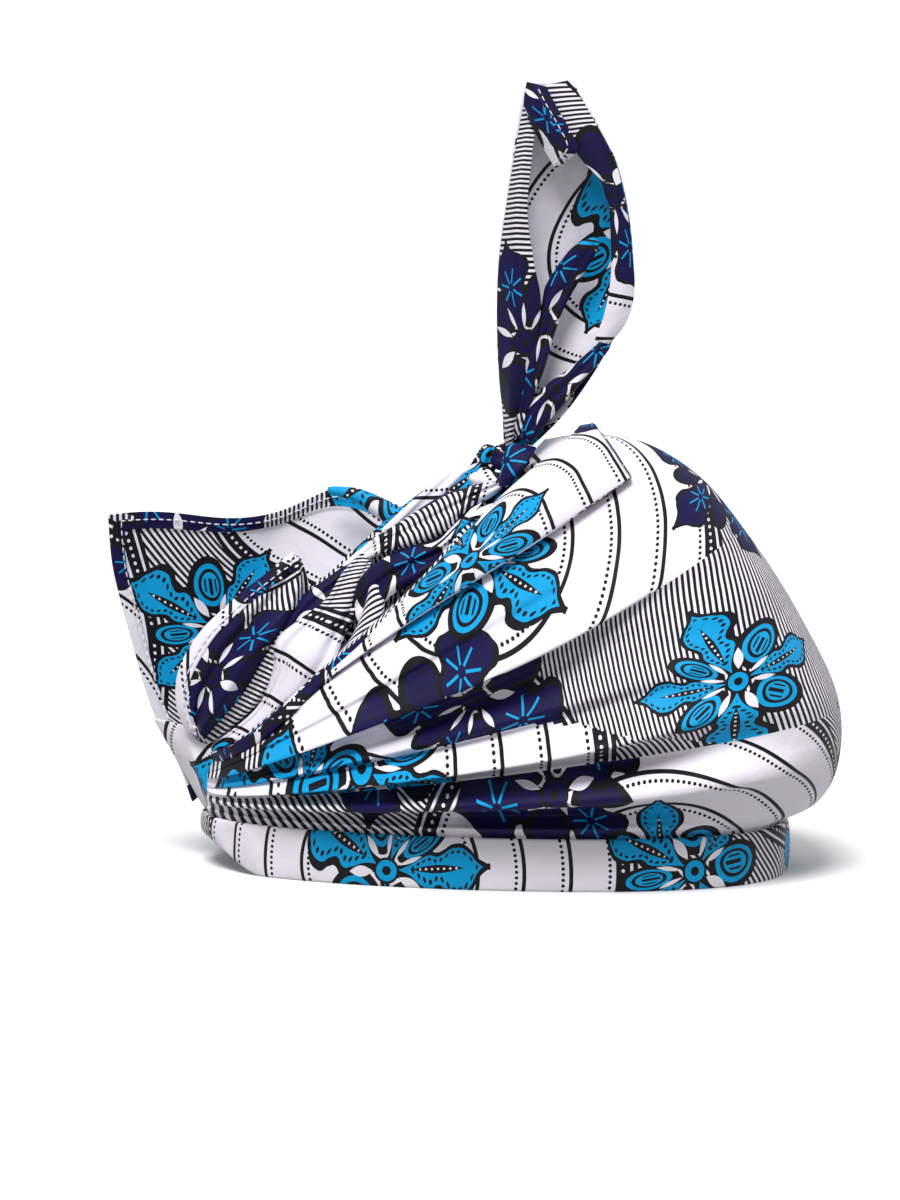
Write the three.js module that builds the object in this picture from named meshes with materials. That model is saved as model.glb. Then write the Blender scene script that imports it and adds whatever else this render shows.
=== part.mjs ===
/**
 * A ready-tied head wrap of printed cotton, standing on its band.
 *
 * Millimetres. +Z is up, +X points to the back of the head and +Y to its right side.
 * The origin is on the surface that the band stands on, under the middle of the whole wrap.
 *
 * All folds of the crown run into one gather at the front. So the crown is a stack of
 * egg-shaped sections, each in its own plane, and the planes hinge on a line along Y
 * through the gather: the lowest one lies flat and the highest one is the ridge on top.
 */
import * as THREE from 'three';
import { ParametricGeometry } from 'three/addons/geometries/ParametricGeometry.js';
import { mergeVertices } from 'three/addons/utils/BufferGeometryUtils.js';

// Driving dimensions, from the head that the wrap fits
const headOpeningLength = 209;
const headOpeningHalfWidth = 81;
const bandHeight = 18;
const bandThickness = 3;
const crownWall = 2;
const tieWall = 1.6;
const pieceGap = 0.8;

// The middle of the whole wrap, measured from the planes that the tables are written in
const middleX = 0.25;
const middleY = -1.95;

// The gather at the front, where every fold starts
const gatherX = -95;
const bandFrontX = -97;
const bandFrontLift = 11;
const bandFrontLiftLength = 24;

// How round the sections are, and how far behind their middle they are widest
const sectionRoundness = 0.85;
const sectionWidestShift = 0.2;

// A section's plane rises less steeply near the gather than at the back
const planeStartShare = 0.92;

const { degToRad, lerp, smoothstep, clamp } = THREE.MathUtils;

// One row for each section of the crown, from its lower edge up to the ridge. rise is the
// angle of the plane in degrees, reach its length from the gather to the back, swing how
// far its back leans to the -Y side.
const crownSections = [
  { noseHeight: 19, rise: 0.0, reach: 205, halfWidth: 79, swing: 14 },
  { noseHeight: 20.8, rise: 1.2, reach: 218, halfWidth: 86, swing: 13 },
  { noseHeight: 22.8, rise: 4, reach: 225, halfWidth: 92, swing: 12 },
  { noseHeight: 25, rise: 9, reach: 227, halfWidth: 95, swing: 10 },
  { noseHeight: 27.4, rise: 16, reach: 220, halfWidth: 92, swing: 7 },
  { noseHeight: 29.8, rise: 24, reach: 212, halfWidth: 82, swing: 4 },
  { noseHeight: 32, rise: 31, reach: 205, halfWidth: 68, swing: 2 },
  { noseHeight: 34, rise: 37, reach: 193, halfWidth: 50, swing: 1 },
  { noseHeight: 36, rise: 41, reach: 177, halfWidth: 31, swing: 0 },
  { noseHeight: 38, rise: 43, reach: 165, halfWidth: 0, swing: 0 },
];

// One row for each fold of the crown: the angle that it runs at, how far it stands out (a
// groove is negative), how many degrees it spreads, and the share of the way round to the
// back where it has died away.
const crownFolds = [
  { angle: 2.4, height: -7, spread: 1.5, end: 0.8 },
  { angle: 5.2, height: 5, spread: 1.5, end: 1.0 },
  { angle: 7.9, height: -6, spread: 1.3, end: 0.8 },
  { angle: 10.6, height: 6, spread: 1.7, end: 0.9 },
  { angle: 15.8, height: -6, spread: 2.4, end: 0.8 },
  { angle: 21.2, height: 6, spread: 2.8, end: 0.85 },
  { angle: 26.5, height: -2, spread: 2.4, end: 0.6 },
];

/** Smooth values between the rows of a table: at 0 the first row, at 1 the last. */
function readTable(rows, share) {
  const place = clamp(share, 0, 1) * (rows.length - 1);
  const index = Math.min(Math.floor(place), rows.length - 2);
  const part = place - index;
  const before = rows[Math.max(index - 1, 0)];
  const from = rows[index];
  const to = rows[index + 1];
  const after = rows[Math.min(index + 2, rows.length - 1)];
  const result = {};
  for (const key of Object.keys(from)) {
    const slopeFrom = (to[key] - before[key]) / 2;
    const slopeTo = (after[key] - from[key]) / 2;
    const step = to[key] - from[key];
    result[key] = from[key] + part * slopeFrom
      + part * part * (3 * step - 2 * slopeFrom - slopeTo)
      + part * part * part * (slopeFrom + slopeTo - 2 * step);
  }
  return result;
}

/** Joins the points of a surface that fall together, and drops the faces that this flattens. */
function weld(geometry) {
  geometry.deleteAttribute('normal');
  geometry.deleteAttribute('uv');
  const welded = mergeVertices(geometry, 1e-3);
  const corners = welded.index.array;
  const kept = [];
  for (let i = 0; i < corners.length; i += 3) {
    const [a, b, c] = corners.slice(i, i + 3);
    if (a !== b && b !== c && c !== a) kept.push(a, b, c);
  }
  welded.setIndex(kept);
  return welded;
}

/** Turns the faces of a closed geometry to the outside, where its volume is positive. */
function faceOutward(geometry) {
  const position = geometry.attributes.position;
  const corners = Array.from(geometry.index.array);
  const [a, b, c] = [new THREE.Vector3(), new THREE.Vector3(), new THREE.Vector3()];
  let volume = 0;
  for (let i = 0; i < corners.length; i += 3) {
    a.fromBufferAttribute(position, corners[i]);
    b.fromBufferAttribute(position, corners[i + 1]);
    c.fromBufferAttribute(position, corners[i + 2]);
    volume += a.dot(b.cross(c));
  }
  if (volume < 0) corners.reverse();
  geometry.setIndex(corners);
  geometry.computeVertexNormals();
  return geometry;
}

/** A closed body whose surface is point(u, v); the surface closes on itself. */
function solid(point, slices, stacks) {
  return faceOutward(weld(new ParametricGeometry(point, slices, stacks)));
}

/** A sheet of cloth: the open surface point(u, v), its copy a wall inside it, and the edge. */
function cloth(point, slices, stacks, wall) {
  const outside = weld(new ParametricGeometry(point, slices, stacks));
  outside.computeVertexNormals();
  const { position, normal } = outside.attributes;
  const count = position.count;
  const points = new Float32Array(count * 6);
  points.set(position.array);
  for (let i = 0; i < count * 3; i++) {
    points[count * 3 + i] = position.array[i] - wall * normal.array[i];
  }

  const faces = Array.from(outside.index.array);
  const open = new Map();
  for (let i = 0; i < faces.length; i += 3) {
    for (let k = 0; k < 3; k++) {
      const from = faces[i + k];
      const to = faces[i + (k + 1) % 3];
      if (!open.delete(`${to} ${from}`)) open.set(`${from} ${to}`, [from, to]);
    }
  }
  const corners = [...faces];
  for (let i = 0; i < faces.length; i += 3) {
    corners.push(faces[i + 2] + count, faces[i + 1] + count, faces[i] + count);
  }
  for (const [from, to] of open.values()) {
    corners.push(to, from, from + count, to, from + count, to + count);
  }
  const geometry = new THREE.BufferGeometry();
  geometry.setAttribute('position', new THREE.BufferAttribute(points, 3));
  geometry.setIndex(corners);
  return faceOutward(geometry);
}

/** A point round an egg-shaped section: along from the gather to the back, across to +Y. */
function eggPoint(turn, reach, halfWidth, swing) {
  const angle = 2 * Math.PI * turn;
  const along = reach * (1 - Math.cos(angle)) / 2;
  const bent = angle - sectionWidestShift * Math.sin(angle);
  const round = Math.sign(Math.sin(bent)) * Math.abs(Math.sin(bent)) ** sectionRoundness;
  return { along, across: -halfWidth * round - swing * (along / reach) ** 3 };
}

/** How far the folds push the cloth out at this angle of the crown and turn round it. */
function foldHeight(rise, turn) {
  const wayBack = 1 - Math.abs(1 - 2 * turn);
  let height = 0;
  for (const fold of crownFolds) {
    const offset = (rise - fold.angle) / fold.spread;
    const strength = 1 - smoothstep(wayBack, 0.55 * fold.end, fold.end);
    height += fold.height * strength * Math.exp(-offset * offset);
  }
  return height;
}

/** The crown's outside: share goes from its lower edge to the ridge, turn goes round it. */
function crownPoint(share, turn, target) {
  const section = readTable(crownSections, share);
  const closing = smoothstep(1 - share, 0, 0.2);
  const halfWidth = section.halfWidth + closing * foldHeight(section.rise, turn);
  const { along, across } = eggPoint(turn, section.reach, halfWidth, section.swing);
  const plane = lerp(planeStartShare, 1, along / section.reach);
  const rise = degToRad(section.rise * plane);
  return target.set(
    gatherX + along * Math.cos(rise),
    across,
    section.noseHeight + along * Math.sin(rise),
  );
}

/** The share of the crown's height where its sections rise at an angle. */
function shareAtRise(rise) {
  let low = 0;
  let high = 1;
  for (let i = 0; i < 30; i++) {
    const middle = (low + high) / 2;
    if (readTable(crownSections, middle).rise < rise) low = middle;
    else high = middle;
  }
  return low;
}

/** The turn at which an egg-shaped section on the -Y side is this far from the gather. */
function turnAtReach(distance, reach) {
  return Math.acos(clamp(1 - 2 * distance / reach, -1, 1)) / (2 * Math.PI);
}

function makeCrown() {
  const slices = 46;
  const stacks = 31;
  return cloth((u, v, target) => crownPoint(v, u, target), slices, stacks, crownWall);
}

/** The band: a strip with a flat lower edge, lifted at the front where it joins the gather. */
function makeBand() {
  const slices = 56;
  const profile = [
    { out: -1, up: 0 }, { out: 0, up: 0 }, { out: 0.25, up: 0.5 }, { out: 0, up: 1 },
    { out: -1, up: 1 }, { out: -0.9, up: 0.5 }, { out: -1, up: 0 },
  ];
  const point = (u, v, target) => {
    const corner = profile[Math.round(v * (profile.length - 1))];
    const inset = corner.out * bandThickness;
    const reach = headOpeningLength + 2 * inset;
    const halfWidth = headOpeningHalfWidth + inset;
    const { along, across } = eggPoint(u, reach, halfWidth, 14);
    const x = bandFrontX - inset + along;
    const lift = bandFrontLift * (1 - smoothstep(x, bandFrontX, bandFrontX + bandFrontLiftLength));
    return target.set(x, across, lerp(lift, bandHeight, corner.up));
  };
  return solid(point, slices, profile.length - 1);
}

/** A point of the ridge on top of the crown, and the direction straight out of it. */
function ridgeFrame(distance) {
  const { noseHeight, rise, reach } = crownSections.at(-1);
  const angle = degToRad(rise * lerp(planeStartShare, 1, distance / reach));
  return {
    foot: new THREE.Vector3(
      gatherX + distance * Math.cos(angle), 0, noseHeight + distance * Math.sin(angle),
    ),
    along: new THREE.Vector3(Math.cos(angle), 0, Math.sin(angle)),
    out: new THREE.Vector3(-Math.sin(angle), 0, Math.cos(angle)),
  };
}

// The rolled tie lies on the -Y side of the crown's top. One row across it: lift is how far
// that line stands off the crown, as a share of the roll's thickness.
const rollStart = 55;
const rollEnd = 172;
const rollLowAngle = 36.6;
const rollHighAngle = 42;
const rollThickness = 6;

function makeTopRoll() {
  const point = (u, v, target) => {
    const distance = lerp(rollStart, rollEnd, v);
    const ends = Math.sin(Math.PI * clamp(v, 0, 1)) ** 0.35;
    const round = 2 * Math.PI * u;
    const middle = (rollLowAngle + rollHighAngle) / 2;
    const halfSpan = (rollHighAngle - rollLowAngle) / 2;
    const share = shareAtRise(middle - halfSpan * Math.cos(round) * ends);
    const { reach } = readTable(crownSections, share);
    crownPoint(share, turnAtReach(distance, reach), target);
    const lift = pieceGap + rollThickness * ends * (0.5 + 0.5 * Math.sin(round));
    const tilt = degToRad(middle);
    const side = -0.55;
    const outward = new THREE.Vector3(
      -Math.sin(tilt) * 0.84, side, Math.cos(tilt) * 0.84,
    );
    return target.addScaledVector(outward, lift);
  };
  return solid(point, 12, 20);
}

// The twisted tie on the ridge: one row for each place along it
const twistStart = 10;
const twistEnd = 134.5;
const twistStrands = 3;
const twistTurns = 1.1;
const twistOffsetY = -2;
const twistRadii = [
  { radius: 7 }, { radius: 9.5 }, { radius: 10.5 }, { radius: 10 }, { radius: 8 }, { radius: 6.5 },
];

function makeTwist() {
  const strandDepth = 0.14;
  const flattenedSide = 0.82;
  const point = (u, v, target) => {
    const { foot, out } = ridgeFrame(lerp(twistStart, twistEnd, v));
    const { radius } = readTable(twistRadii, v);
    const round = 2 * Math.PI * u;
    const strand = 1 + strandDepth * Math.cos(twistStrands * (round - 2 * Math.PI * twistTurns * v));
    const closing = Math.sin(Math.PI * v) < 1e-6 ? 0 : 1;
    const size = radius * strand * closing;
    const height = radius * (1 + strandDepth) * flattenedSide + pieceGap;
    return target.copy(foot)
      .addScaledVector(out, height + size * Math.max(Math.sin(round), -flattenedSide))
      .add(new THREE.Vector3(0, twistOffsetY + size * Math.cos(round), 0));
  };
  return solid(point, 16, 26);
}

// The knot beside the foot of the standing tie
const knotPlace = 144.5;
const knotRadius = 9;

function makeKnot() {
  const { foot, out, along } = ridgeFrame(knotPlace);
  const wraps = 2;
  const point = (u, v, target) => {
    const polar = Math.PI * v;
    const round = 2 * Math.PI * u;
    const wrap = 1 - 0.1 * Math.cos(2 * wraps * polar + round);
    const size = knotRadius * wrap * Math.sin(polar);
    return target.copy(foot)
      .addScaledVector(out, knotRadius * 1.1 + pieceGap + size * Math.sin(round) * 0.94)
      .addScaledVector(along, size * Math.cos(round) * 0.88)
      .add(new THREE.Vector3(0, -1.35 * knotRadius * Math.cos(polar) + twistOffsetY, 0));
  };
  return solid(point, 14, 12);
}

// The standing tie, one row for each height: its two edges seen from the side and its depth
const standingTie = [
  { height: 151.5, left: 11, right: 23, depth: 9 },
  { height: 158, left: 10.8, right: 33, depth: 13 },
  { height: 173, left: 10, right: 44, depth: 20 },
  { height: 187, left: 9.4, right: 52, depth: 24 },
  { height: 201, left: 9.4, right: 56, depth: 26 },
  { height: 217, left: 10.5, right: 56, depth: 26 },
  { height: 233, left: 12.6, right: 54, depth: 24 },
  { height: 250, left: 15, right: 50, depth: 20 },
  { height: 266, left: 17.5, right: 41.5, depth: 14 },
  { height: 276.5, left: 20.5, right: 34, depth: 9 },
];

// Across the standing tie: a flap folded over the near side, the hollow, and the free hem
const standingTieAcross = [
  { across: 0.46, depth: -0.42 },
  { across: 0.22, depth: -0.5 },
  { across: 0.0, depth: -0.12 },
  { across: 0.16, depth: 0.3 },
  { across: 0.45, depth: 0.46 },
  { across: 0.78, depth: 0.3 },
  { across: 1.0, depth: -0.3 },
];

function makeUprightTail() {
  const middleY = -3;
  const point = (u, v, target) => {
    const row = readTable(standingTie, v);
    const cut = readTable(standingTieAcross, u);
    return target.set(
      lerp(row.left, row.right, cut.across), middleY + row.depth * cut.depth, row.height,
    );
  };
  return cloth(point, 15, 16, tieWall);
}

// The tie that falls to the front, from its upper hem down to the gather. Each row has its
// free edge and the edge beside the twist, and how far its middle is hollowed out to +Y.
const fallingTie = [
  { freeX: -130, freeZ: 120, freeY: 6, innerX: -27, innerZ: 125, innerY: 14, hollow: 14 },
  { freeX: -128.5, freeZ: 103, freeY: 6, innerX: -39, innerZ: 106, innerY: 14, hollow: 15 },
  { freeX: -122, freeZ: 80, freeY: 7, innerX: -57, innerZ: 84, innerY: 14, hollow: 13 },
  { freeX: -114.5, freeZ: 54, freeY: 7, innerX: -78, innerZ: 61, innerY: 15, hollow: 8 },
  { freeX: -106, freeZ: 36, freeY: 6, innerX: -94, innerZ: 42, innerY: 17, hollow: 2 },
  { freeX: -101, freeZ: 22, freeY: 3, innerX: -98.5, innerZ: 22, innerY: 12, hollow: 0 },
];
const hemWaveHeight = 8;

function makeFrontTail() {
  const point = (u, v, target) => {
    const row = readTable(fallingTie, v);
    const wave = hemWaveHeight * (1 - v) ** 4 * Math.exp(-(((u - 0.78) / 0.16) ** 2));
    return target.set(
      lerp(row.freeX, row.innerX, u),
      lerp(row.freeY, row.innerY, u) + row.hollow * Math.sin(Math.PI * u),
      lerp(row.freeZ, row.innerZ, u) + wave,
    );
  };
  return cloth(point, 14, 12, tieWall);
}

// The folded lobe in front of the falling tie, from its hem down to the gather
const frontLobe = [
  { freeX: -106, freeZ: 69, innerX: -66, innerZ: 107, y: -5, belly: 9 },
  { freeX: -105, freeZ: 62, innerX: -72, innerZ: 93, y: -6, belly: 8 },
  { freeX: -104.5, freeZ: 54, innerX: -84, innerZ: 79, y: -6, belly: 6 },
  { freeX: -105, freeZ: 44, innerX: -97, innerZ: 62, y: -7, belly: 3 },
];

function makeFrontFold() {
  const point = (u, v, target) => {
    const row = readTable(frontLobe, v);
    return target.set(
      lerp(row.freeX, row.innerX, u),
      row.y - row.belly * Math.sin(Math.PI * u),
      lerp(row.freeZ, row.innerZ, u),
    );
  };
  return cloth(point, 9, 8, tieWall);
}

const printedCotton = (colour) => new THREE.MeshStandardMaterial({
  color: colour, roughness: 0.75, metalness: 0, flatShading: false,
});

const wrap = new THREE.Group();
wrap.position.set(-middleX, -middleY, 0);
const pieces = [
  { name: 'band', geometry: makeBand(), colour: 0x9a9cb4 },
  { name: 'crown', geometry: makeCrown(), colour: 0xd8d6e2 },
  { name: 'top_roll', geometry: makeTopRoll(), colour: 0x46b4d8 },
  { name: 'twist', geometry: makeTwist(), colour: 0x23205f },
  { name: 'knot', geometry: makeKnot(), colour: 0x1b1464 },
  { name: 'upright_tail', geometry: makeUprightTail(), colour: 0xbdbdd0 },
  { name: 'front_tail', geometry: makeFrontTail(), colour: 0x8fa0bd },
  { name: 'front_fold', geometry: makeFrontFold(), colour: 0xe6e4ee },
];
for (const { name, geometry, colour } of pieces) {
  const mesh = new THREE.Mesh(geometry, printedCotton(colour));
  mesh.name = name;
  wrap.add(mesh);
}

export default wrap;
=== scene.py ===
"""The looks of a ready-tied head wrap in printed cotton, standing on its band.

Every shape is worked out in millimetres, in the planes of the wrap's own construction,
and becomes metres when its mesh is made. +X points to the back of the head, +Z is up and
the camera looks along +Y at the wearer's left side.
"""
import math
from functools import partialmethod

import bmesh
import bpy
import numpy as np
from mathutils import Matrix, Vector


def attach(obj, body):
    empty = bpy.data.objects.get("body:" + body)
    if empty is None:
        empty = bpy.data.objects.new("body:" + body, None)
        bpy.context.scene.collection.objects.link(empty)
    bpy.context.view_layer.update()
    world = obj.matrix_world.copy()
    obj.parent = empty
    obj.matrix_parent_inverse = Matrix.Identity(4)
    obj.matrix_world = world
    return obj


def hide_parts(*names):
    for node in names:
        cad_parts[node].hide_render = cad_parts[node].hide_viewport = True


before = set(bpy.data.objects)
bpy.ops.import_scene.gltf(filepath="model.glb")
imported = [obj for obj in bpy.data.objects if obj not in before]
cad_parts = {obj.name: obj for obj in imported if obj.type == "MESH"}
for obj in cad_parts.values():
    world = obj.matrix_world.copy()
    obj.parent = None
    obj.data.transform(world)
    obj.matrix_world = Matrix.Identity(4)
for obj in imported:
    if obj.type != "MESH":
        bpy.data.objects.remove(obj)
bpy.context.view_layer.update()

# Driving dimensions, in millimetres
METRE = 0.001
TAU = 2.0 * np.pi
MIDDLE = np.array([0.25, -1.95, 0.0])
BAND_HEIGHT = 18.0
BAND_THICKNESS = 3.0
BAND_LENGTH = 209.0
BAND_HALF_WIDTH = 81.0
BAND_SWING = 14.0
BAND_FRONT_X = -97.0
BAND_FRONT_LIFT = 11.0
BAND_FRONT_LIFT_LENGTH = 24.0
BAND_PRINT = (-97.1, 41.7, -26.3)
CLOTH = 0.8
HEM_WIDTH = 5.5
HEM_RAISE = 1.0
HEM_PRINT = (10.0, 88.0, 20.0)
SEAM_INSET = HEM_WIDTH - 1.2
STITCH_PITCH = 3.0
STITCH_LENGTH = 2.1
STITCH_RADIUS = 0.28
DEPTH_BEHIND = 0.55
SECTION_ROUNDNESS = 0.85
SECTION_WIDEST_SHIFT = 0.2
PLANE_START_SHARE = 0.92
PRINT_DEPTH = 0.1
PRINT_RISE = 1.35

# The crown's sections, from its lower edge to the ridge: where the plane starts at the
# gather (x, z), the angle it rises at, its reach to the back, its half width, and how far
# its back leans to the near side
CROWN_SECTIONS = np.array([
    (-92.6, 14, 0, 198, 74.5, 13),
    (-95, 19, 0, 205, 79, 14),
    (-95, 20.8, 1.2, 218, 86, 13),
    (-95, 22.8, 4, 225, 92, 12),
    (-95, 25, 9, 227, 95, 10),
    (-95, 27.4, 16, 220, 92, 7),
    (-95, 29.8, 24, 212, 82, 4),
    (-95, 32, 31, 205, 68, 2),
    (-95, 34, 37, 193, 50, 1),
    (-95, 36, 41, 177, 31, 0),
    (-95, 38, 43, 165, 0, 0),
])

# The crown's folds: the angle, how far it stands out (a groove is negative), how many
# degrees it spreads upwards and downwards, the share of the way to the back where it has
# died away, and how many degrees its edge droops
CROWN_FOLDS = np.array([
    (2.2, -9.5, 1.6, 1.4, 0.90, 0),
    (4.9, 6.5, 1.8, 0.8, 0.90, 1.1),
    (8.4, -10, 1.5, 1.4, 0.88, 0),
    (11.6, 8, 1.7, 0.9, 0.84, 1.2),
    (15, -9.5, 1.8, 1.8, 0.80, 0),
    (21, -9.5, 2.3, 3.2, 0.84, 0),
    (26, 10, 3, 0.9, 0.86, 2),
    (30.2, -4.5, 1.8, 1.5, 0.80, 0),
    (33, 1.6, 1.4, 1.4, 0.80, 0),
    (34.4, -2.6, 1.6, 1.8, 0.80, 0),
])

# How the print lies on each panel of the crown between two grooves: the angles where the
# panel starts, near the gather and at the back, and the scale, move and turn of the print
CROWN_PANELS = [
    (-1, -1, 1, 112.7, -116.9, 140),
    (8.4, 8.4, 1, -59.2, -5.9, -16.4),
    (15.5, 8.4, 1, -86, 1796.3, -3.9),
    (25.5, 25.5, 0.9, -73, -85, -8.1),
]


def read_table(rows, share):
    """Smooth values between the rows of a table: the cubic through each pair of rows
    whose slopes are those of the chords on either side."""
    share = np.clip(np.asarray(share, float), 0.0, 1.0)
    last = len(rows) - 1
    index = np.minimum((share * last).astype(int), last - 1)
    part = (share * last - index)[..., None]
    before, start = rows[np.maximum(index - 1, 0)], rows[index]
    end, after = rows[index + 1], rows[np.minimum(index + 2, last)]
    slope_start, slope_end, step = (end - before) / 2, (after - start) / 2, end - start
    return (start + part * slope_start
            + part ** 2 * (3 * step - 2 * slope_start - slope_end)
            + part ** 3 * (slope_start + slope_end - 2 * step))


def smoothstep(x, low, high):
    """0 below low, 1 above high, and 3t^2 - 2t^3 between them."""
    t = np.clip((x - low) / (high - low), 0.0, 1.0)
    return t * t * (3.0 - 2.0 * t)


def bell(x, centre, width):
    """A bell curve, 1 at its centre."""
    return np.exp(-((x - centre) / width) ** 2)


def closed_ends(share):
    """A size that closes at both ends, as the root of 1 - t^14 with t from -1 to 1."""
    return np.sqrt(np.clip(1.0 - np.abs(2.0 * share - 1.0) ** 14, 0.0, 1.0))


def running_length(points, axis, depth=1.0):
    """The distance along a grid's lines, from their first point. A step's y counts by the
    share depth."""
    steps = np.diff(points, axis=axis)
    steps[..., 1] *= depth
    steps = np.linalg.norm(steps, axis=-1)
    start = np.zeros_like(np.take(steps, [0], axis=axis))
    return np.cumsum(np.concatenate([start, steps], axis=axis), axis=axis)


def grid_at(grid, row_share, column_share):
    """Values between a grid's points, straight along both of its directions."""
    rows, columns = grid.shape[0] - 1, grid.shape[1] - 1
    r = np.clip(row_share, 0.0, 1.0) * rows
    c = np.clip(column_share, 0.0, 1.0) * columns
    i, j = np.minimum(r.astype(int), rows - 1), np.minimum(c.astype(int), columns - 1)
    r, c = (r - i)[:, None], (c - j)[:, None]
    return ((1 - r) * ((1 - c) * grid[i, j] + c * grid[i, j + 1])
            + r * ((1 - c) * grid[i + 1, j] + c * grid[i + 1, j + 1]))


def grid_normals(points):
    """Unit vectors square to a grid of points, on its near side: the cross product of its
    two tangents."""
    normal = np.cross(np.gradient(points, axis=0), np.gradient(points, axis=1))
    normal *= np.where(normal[..., 1:2] > 0, -1.0, 1.0)
    return normal / np.maximum(np.linalg.norm(normal, axis=-1, keepdims=True), 1e-9)


# Meshes

def face_corners(grid):
    """The four corners of each face of a grid."""
    return np.stack([grid[:-1, :-1], grid[:-1, 1:], grid[1:, 1:], grid[1:, :-1]], 2)


def place_print(place, move, turn):
    """Where the print lies on the cloth: lengths measured on the piece, turned by an angle
    in degrees and moved to the print's own place."""
    c, s = math.cos(math.radians(turn)), math.sin(math.radians(turn))
    x, y = place[..., 0], place[..., 1]
    return np.stack([x * c - y * s + move[0], x * s + y * c + move[1]], -1)


def add_object(name, data):
    """An object in the scene."""
    thing = bpy.data.objects.new(name, data)
    bpy.context.scene.collection.objects.link(thing)
    return thing


def grid_mesh(name, points, uv, around=False):
    """An object whose faces join neighbouring points of a grid of rows. around joins each
    row's last point to its first. uv gives the print's place at each corner of each face,
    or at each point, with one more column where the grid goes around."""
    rows, columns = points.shape[:2]
    index = np.arange(rows * columns).reshape(rows, columns)
    if around:
        index = np.hstack([index, index[:, :1]])
    corners = face_corners(index).reshape(-1, 4)
    print_corners = uv if uv.ndim == 4 else face_corners(uv)

    mesh = bpy.data.meshes.new(name)
    mesh.from_pydata(((points - MIDDLE) * METRE).reshape(-1, 3), [], corners.tolist())
    layer = mesh.uv_layers.new(name="print")
    layer.data.foreach_set("uv", print_corners.reshape(-1).astype(np.float32))
    mesh.polygons.foreach_set("use_smooth", np.ones(len(mesh.polygons), bool))

    work = bmesh.new()
    work.from_mesh(mesh)
    bmesh.ops.remove_doubles(work, verts=work.verts, dist=2e-6)
    bmesh.ops.recalc_face_normals(work, faces=work.faces)
    work.to_mesh(mesh)
    work.free()
    return add_object(name, mesh)


def give_thickness(piece):
    """A sheet becomes cloth of its real thickness, towards its inside."""
    wall = piece.modifiers.new("thickness", "SOLIDIFY")
    wall.thickness = CLOTH * METRE
    wall.offset = -1.0
    wall.use_quality_normals = True


# The materials made in this script, by name. The frame brings plain ones of the same names.
FINISHES = {}


def settle(piece, slot, *nodes, finish=None):
    """Gives a piece its place in the frame and its material, which is the one made for
    its slot where the piece has no finish of its own."""
    piece.data.materials.append(FINISHES[finish or slot])
    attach(piece, "root")
    if nodes:
        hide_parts(*nodes)


def make_tie(name, points, along, move, turn, nodes, length=None):
    """A closed body of tie cloth from its sections, with the way along it up to each, which together
    with the way round it places the print. The length given is not used."""
    lap_length = running_length(np.concatenate([points, points[:, :1]], 1), 1)
    place = np.stack([lap_length, np.broadcast_to(along[:, None], lap_length.shape)], -1)
    tie = grid_mesh(name, points, place_print(place, move, turn), around=True)
    settle(tie, "tie_cotton", *nodes)
    length = float(length or abs(along[-1]))


# Crown

def egg(turn, reach, half_width, swing):
    """A point round an egg-shaped section: reach(1 - cos a)/2 along it, and across it the
    half width times a power of the sine of an angle that lags behind a."""
    angle = TAU * turn
    along = reach * (1.0 - np.cos(angle)) / 2.0
    sine = np.sin(angle - SECTION_WIDEST_SHIFT * np.sin(angle))
    across = -half_width * np.sign(sine) * np.abs(sine) ** SECTION_ROUNDNESS
    return along, across - swing * (along / reach) ** 3


def turn_at(distance, reach):
    """How far round an egg-shaped section a length along it lies, on the near side."""
    return np.arccos(np.clip(1.0 - 2.0 * distance / reach, -1.0, 1.0)) / TAU


def way_to_back(turn):
    """0 at the gather and 1 at the back, evenly round a section."""
    return 1.0 - np.abs(1.0 - 2.0 * turn)


def crown_fold(rise, turn):
    """How far the folds push the cloth out and down at this rise and turn: for each, its
    height times exp(-|offset/spread|^1.8), dying away towards the back."""
    way_back = way_to_back(turn)
    out = np.zeros(np.broadcast(rise, turn).shape)
    droop = np.zeros_like(out)
    for angle, height, above, below, end, lean in CROWN_FOLDS:
        offset = rise - angle
        spread = np.where(offset > 0, above, below)
        strength = (1.0 - smoothstep(way_back, 0.6 * end, end)) * np.exp(
            -np.abs(offset / spread) ** 1.8)
        out += height * strength
        droop += lean * strength
    return out, droop


def crown_point(share, turn):
    """The crown's outside. Each section lies in a plane through the gather that rises at
    its own angle; folds widen it, and fine gathers run out from the gather."""
    row = read_table(CROWN_SECTIONS, share)
    nose_x, nose_z, rise, reach, half_width, swing = np.moveaxis(row, -1, 0)
    closing = smoothstep(1.0 - share, 0.0, 0.2) * smoothstep(rise, 0.3, 1.2)
    out, droop = crown_fold(rise, turn)
    way_back = way_to_back(turn)
    gather = 1.8 * np.exp(-way_back / 0.3) * np.cos(TAU * rise / 2.1 + 3.0 * turn)
    wave = 0.8 * np.sin(TAU * rise / 5.3 + 5.0 * turn) * smoothstep(way_back, 0.1, 0.4)
    sag = 1.6 * np.sin(rise / 6.0 + 9.0 * turn) * smoothstep(way_back, 0.45, 0.8)
    along, across = egg(turn, reach, half_width + closing * (out + gather + wave + sag), swing)
    plane = PLANE_START_SHARE + (1.0 - PLANE_START_SHARE) * along / reach
    angle = np.radians((rise - closing * droop) * plane)
    return np.stack([nose_x + along * np.cos(angle), across, nose_z + along * np.sin(angle)], -1)


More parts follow.
